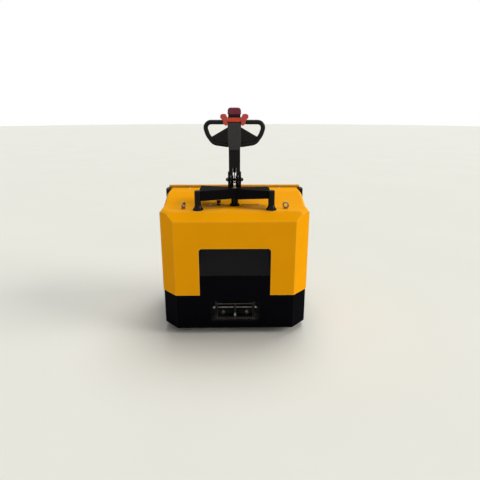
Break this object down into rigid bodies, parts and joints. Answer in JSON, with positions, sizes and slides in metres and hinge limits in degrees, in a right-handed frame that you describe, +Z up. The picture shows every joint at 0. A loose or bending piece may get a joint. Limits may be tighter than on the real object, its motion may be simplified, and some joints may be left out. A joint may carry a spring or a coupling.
{
  "type": "electric tow tractor",
  "caption": "Walk-behind tow tractor with boxy bevelled covers, low skirts, pin coupling, deck saddle and a steering tiller with loop handle over a steered drive wheel.",
  "frame": {"origin": "on the floor, at the middle of the overall length and width", "axes": "+Z up, +X to the right and +Y towards the operator's end, seen from the towing end"},
  "size_m": [0.9506, 0.66, 1.3726],
  "materials": {
    "yellow_paint": "satin",
    "black_paint": "satin",
    "frame_paint": "satin",
    "dark_paint": "satin",
    "rubber": "matte",
    "wheel_tread": "matte",
    "cast_metal": "satin",
    "plain_steel": "brushed",
    "black_plastic": "matte",
    "grey_plastic": "matte",
    "orange_plastic": "gloss",
    "red_plastic": "gloss",
    "crimson_plastic": "gloss",
    "battery_case": "matte"
  },
  "bodies": {
    "root": {"battery": "battery_case", "castor_housings": "frame_paint", "centre_post": "dark_paint", "chassis_plate": "frame_paint", "corner_bumpers": "rubber", "coupling_housing": "frame_paint", "groove_seal": "rubber", "lifting_eyes": "plain_steel", "load_axles": "plain_steel", "load_brackets": "frame_paint", "near_cover": "yellow_paint", "near_skirt": "black_paint", "rear_cover": "yellow_paint", "rear_frame_plate": "yellow_paint", "rear_skirt": "black_paint", "saddle_posts": "dark_paint", "saddle_wing_left": "dark_paint", "saddle_wing_right": "dark_paint", "side_panel_left": "yellow_paint", "side_panel_right": "yellow_paint", "side_skirt_left": "black_paint", "side_skirt_right": "black_paint", "steering_bearing": "plain_steel", "tongue_panel": "black_paint", "top_cover": "yellow_paint"},
    "coupling_pin": {"coupling_pin": "plain_steel"},
    "load_wheel_left": {"load_tyre_left": "wheel_tread", "load_hub_left": "cast_metal"},
    "load_wheel_right": {"load_tyre_right": "wheel_tread", "load_hub_right": "cast_metal"},
    "castor_left": {"castor_fork_left": "plain_steel"},
    "castor_right": {"castor_fork_right": "plain_steel"},
    "castor_wheel_left": {"castor_wheel_left": "wheel_tread"},
    "castor_wheel_right": {"castor_wheel_right": "wheel_tread"},
    "drive_unit": {"drive_gearbox": "cast_metal", "drive_motor": "frame_paint", "steering_column": "frame_paint", "tiller_yoke": "dark_paint"},
    "drive_wheel": {"drive_tyre": "wheel_tread", "drive_hub": "cast_metal"},
    "tiller": {"tiller_arm": "dark_paint", "tiller_head": "black_plastic", "head_lid": "grey_plastic", "horn_bar": "orange_plastic", "head_neck": "black_plastic", "belly_button": "crimson_plastic", "thumb_paddles": "red_plastic", "handle_loop": "black_plastic"},
    "spring_cylinder": {"gas_spring_cylinder": "dark_paint"},
    "spring_rod": {"gas_spring_rod": "plain_steel"}
  },
  "joints": [
    {"name": "coupling_pin_lift", "type": "slide", "parent": "root", "child": "coupling_pin", "axis": [0, 0, 1], "range_m": [0, 0.08]},
    {"name": "load_wheel_left_spin", "type": "hinge", "parent": "root", "child": "load_wheel_left", "pos_m": [-0.335, -0.185, 0.1], "axis": [1, 0, 0], "continuous": true},
    {"name": "load_wheel_right_spin", "type": "hinge", "parent": "root", "child": "load_wheel_right", "pos_m": [0.335, -0.185, 0.1], "axis": [1, 0, 0], "continuous": true},
    {"name": "castor_left_swivel", "type": "hinge", "parent": "root", "child": "castor_left", "pos_m": [-0.33, 0.15, 0.174], "axis": [0, 0, 1], "continuous": true},
    {"name": "castor_right_swivel", "type": "hinge", "parent": "root", "child": "castor_right", "pos_m": [0.33, 0.15, 0.174], "axis": [0, 0, 1], "continuous": true},
    {"name": "castor_wheel_left_spin", "type": "hinge", "parent": "castor_left", "child": "castor_wheel_left", "pos_m": [-0.33, 0.114, 0.0625], "axis": [1, 0, 0], "continuous": true},
    {"name": "castor_wheel_right_spin", "type": "hinge", "parent": "castor_right", "child": "castor_wheel_right", "pos_m": [0.33, 0.114, 0.0625], "axis": [1, 0, 0], "continuous": true},
    {"name": "steering", "type": "hinge", "parent": "root", "child": "drive_unit", "pos_m": [0, 0.105, 0.3], "axis": [0, 0, 1], "range_deg": [-90, 90]},
    {"name": "drive_wheel_spin", "type": "hinge", "parent": "drive_unit", "child": "drive_wheel", "pos_m": [0, 0.105, 0.115], "axis": [1, 0, 0], "continuous": true},
    {"name": "tiller_tilt", "type": "hinge", "parent": "drive_unit", "child": "tiller", "pos_m": [0, 0.105, 0.9035], "axis": [-1, 0, 0], "range_deg": [0, 80]},
    {"name": "gas_spring_swing", "type": "hinge", "parent": "tiller", "child": "spring_cylinder", "pos_m": [0, 0.105, 1.08], "axis": [1, 0, 0], "range_deg": [0, 4.2]},
    {"name": "gas_spring_stroke", "type": "slide", "parent": "spring_cylinder", "child": "spring_rod", "axis": [0, -0.1168, 0.9932], "range_m": [0, 0.039]}
  ],
  "couplings": [
    {"joint": "gas_spring_swing", "follows": "tiller_tilt", "ratio": 0.04},
    {"joint": "gas_spring_stroke", "follows": "tiller_tilt", "m_per_rad": 0.027215}
  ]
}
